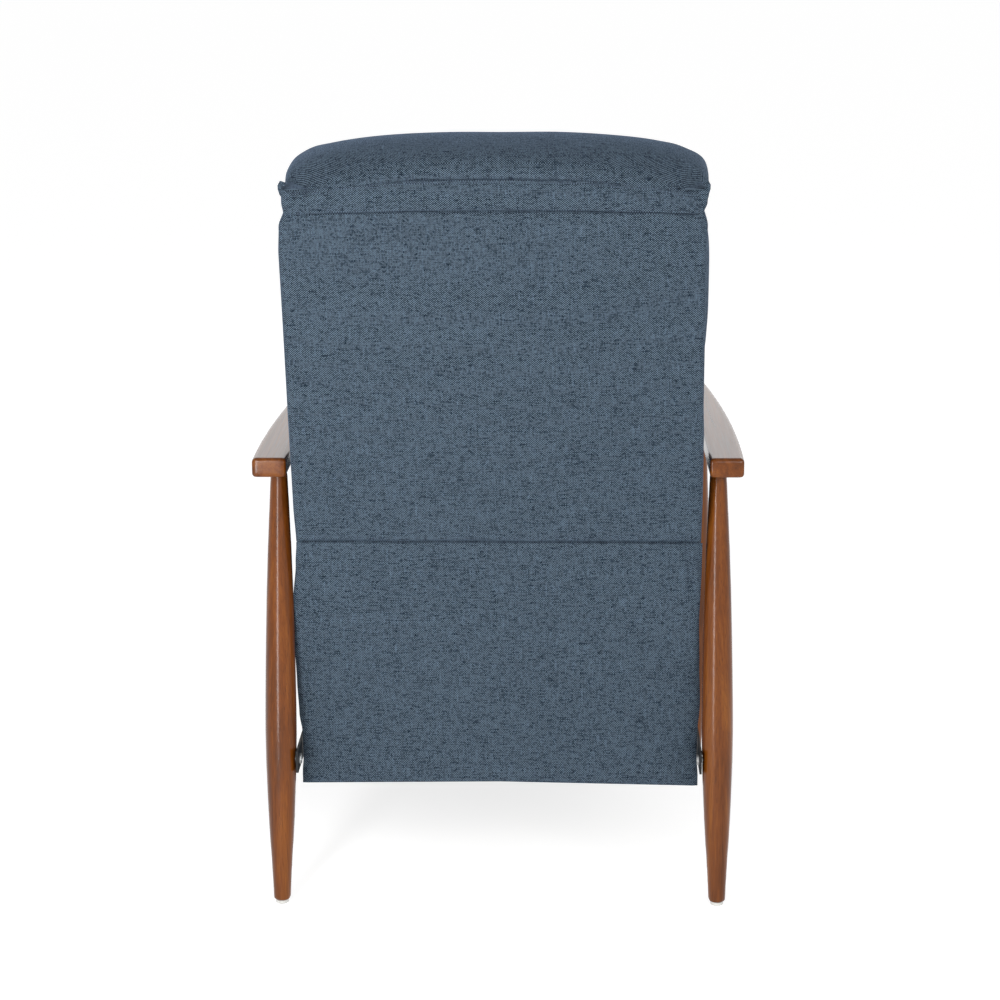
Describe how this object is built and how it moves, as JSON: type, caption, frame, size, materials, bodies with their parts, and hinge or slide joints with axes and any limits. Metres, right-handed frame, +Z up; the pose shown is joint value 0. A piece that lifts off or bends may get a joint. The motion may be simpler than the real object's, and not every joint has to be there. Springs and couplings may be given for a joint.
{
  "type": "recliner armchair",
  "caption": "Push-back recliner armchair with turned wooden legs, slim wooden arms, padded channel back with head roll, fold-out footrest and woven upholstery.",
  "frame": {"origin": "on the floor under the centre of the closed, upright chair", "axes": "+Z up, the chair faces -Y, +X is the sitter's left"},
  "size_m": [0.6396, 0.7616, 1.0286],
  "materials": {
    "woven_fabric": "coarse melange linen weave in navy and light blue-grey",
    "lacquered_wood": "satin lacquered walnut brown",
    "plywood": "raw",
    "black_steel": "black satin enamel",
    "zinc": "zinc plated",
    "glide_plastic": "matt",
    "webbing": "black polypropylene"
  },
  "bodies": {
    "frame": {"armrest_left": "lacquered_wood", "armrest_right": "lacquered_wood", "leg_front_left": "lacquered_wood", "leg_front_right": "lacquered_wood", "leg_rear_left": "lacquered_wood", "leg_rear_right": "lacquered_wood", "foot_glide_front_left": "glide_plastic", "foot_glide_front_right": "glide_plastic", "foot_glide_rear_left": "glide_plastic", "foot_glide_rear_right": "glide_plastic", "leg_bolt_front_left": "zinc", "leg_bolt_front_right": "zinc", "leg_bolt_rear_left": "zinc", "leg_bolt_rear_right": "zinc", "side_rail_left": "black_steel", "side_rail_right": "black_steel", "base_plate_left": "black_steel", "base_plate_right": "black_steel", "cross_tube_front": "black_steel", "cross_tube_rear": "black_steel"},
    "rear_swing_links": {"swing_link_rear_left": "black_steel", "swing_link_rear_right": "black_steel", "torque_tube_rear": "black_steel"},
    "front_swing_links": {"swing_link_front_left": "black_steel", "swing_link_front_right": "black_steel", "torque_tube_front": "black_steel"},
    "back_control_links": {"back_control_link_left": "black_steel", "back_control_link_right": "black_steel"},
    "seat": {"seat_frame": "plywood", "seat_plate_left": "black_steel", "seat_plate_right": "black_steel", "seat_cushion": "woven_fabric", "seat_deck": "webbing", "flap_strap_left": "black_steel", "flap_strap_right": "black_steel", "flap_batten": "plywood", "rear_flap_lower": "woven_fabric"},
    "back": {"back_post_left": "plywood", "back_post_right": "plywood", "back_rail_bottom": "plywood", "back_rail_top": "plywood", "back_bracket_left": "black_steel", "back_bracket_right": "black_steel", "lumbar_cushion": "woven_fabric", "upper_back_cushion": "woven_fabric", "head_roll": "woven_fabric", "outside_back_panel": "woven_fabric", "rear_flap_upper": "woven_fabric"},
    "footrest_thigh_links": {"footrest_thigh_link_left": "black_steel", "footrest_thigh_link_right": "black_steel"},
    "footrest_shin_links": {"footrest_shin_link_left": "black_steel", "footrest_shin_link_right": "black_steel"},
    "footrest_guide_links": {"footrest_guide_link_left": "black_steel", "footrest_guide_link_right": "black_steel"},
    "footrest_level_links": {"footrest_level_link_left": "black_steel", "footrest_level_link_right": "black_steel"},
    "footrest": {"footrest_bracket_left": "black_steel", "footrest_bracket_right": "black_steel", "footrest_board": "plywood", "footrest_pad": "woven_fabric"}
  },
  "joints": [
    {"name": "seat_swing", "type": "hinge", "parent": "frame", "child": "rear_swing_links", "pos_m": [0, 0.10354, 0.225], "axis": [1, 0, 0], "range_deg": [0, 50]},
    {"name": "front_link_swing", "type": "hinge", "parent": "frame", "child": "front_swing_links", "pos_m": [0, -0.08146, 0.225], "axis": [1, 0, 0], "range_deg": [0, 50]},
    {"name": "seat_carry", "type": "hinge", "parent": "rear_swing_links", "child": "seat", "pos_m": [0, 0.14158, 0.30657], "axis": [-1, 0, 0], "range_deg": [0, 50]},
    {"name": "back_control_swing", "type": "hinge", "parent": "frame", "child": "back_control_links", "pos_m": [0, 0.10654, 0.1937], "axis": [1, 0, 0], "range_deg": [0, 35.4]},
    {"name": "back_recline", "type": "hinge", "parent": "seat", "child": "back", "pos_m": [0, 0.19354, 0.368], "axis": [-1, 0, 0], "range_deg": [0, 27]},
    {"name": "footrest_thigh_swing", "type": "hinge", "parent": "seat", "child": "footrest_thigh_links", "pos_m": [0, -0.29146, 0.318], "axis": [-1, 0, 0], "range_deg": [0, 130]},
    {"name": "footrest_shin_unfold", "type": "hinge", "parent": "footrest_thigh_links", "child": "footrest_shin_links", "pos_m": [0, -0.16155, 0.243], "axis": [1, 0, 0], "range_deg": [0, 90]},
    {"name": "footrest_guide_swing", "type": "hinge", "parent": "seat", "child": "footrest_guide_links", "pos_m": [0, -0.25296, 0.3226], "axis": [-1, 0, 0], "range_deg": [0, 131.5]},
    {"name": "footrest_level_swing", "type": "hinge", "parent": "footrest_thigh_links", "child": "footrest_level_links", "pos_m": [0, -0.18805, 0.2583], "axis": [1, 0, 0], "range_deg": [0, 92]},
    {"name": "footrest_turn", "type": "hinge", "parent": "footrest_shin_links", "child": "footrest", "pos_m": [0, -0.29146, 0.168], "axis": [-1, 0, 0], "range_deg": [0, 52]}
  ],
  "couplings": [
    {"joint": "front_link_swing", "follows": "seat_swing", "ratio": 1},
    {"joint": "seat_carry", "follows": "seat_swing", "ratio": 1},
    {"joint": "back_control_swing", "follows": "seat_swing", "ratio": 0.708},
    {"joint": "back_recline", "follows": "seat_swing", "ratio": 0.54},
    {"joint": "footrest_thigh_swing", "follows": "seat_swing", "ratio": 2.6},
    {"joint": "footrest_shin_unfold", "follows": "seat_swing", "ratio": 1.8},
    {"joint": "footrest_guide_swing", "follows": "seat_swing", "ratio": 2.63},
    {"joint": "footrest_level_swing", "follows": "seat_swing", "ratio": 1.84},
    {"joint": "footrest_turn", "follows": "seat_swing", "ratio": 1.04}
  ]
}
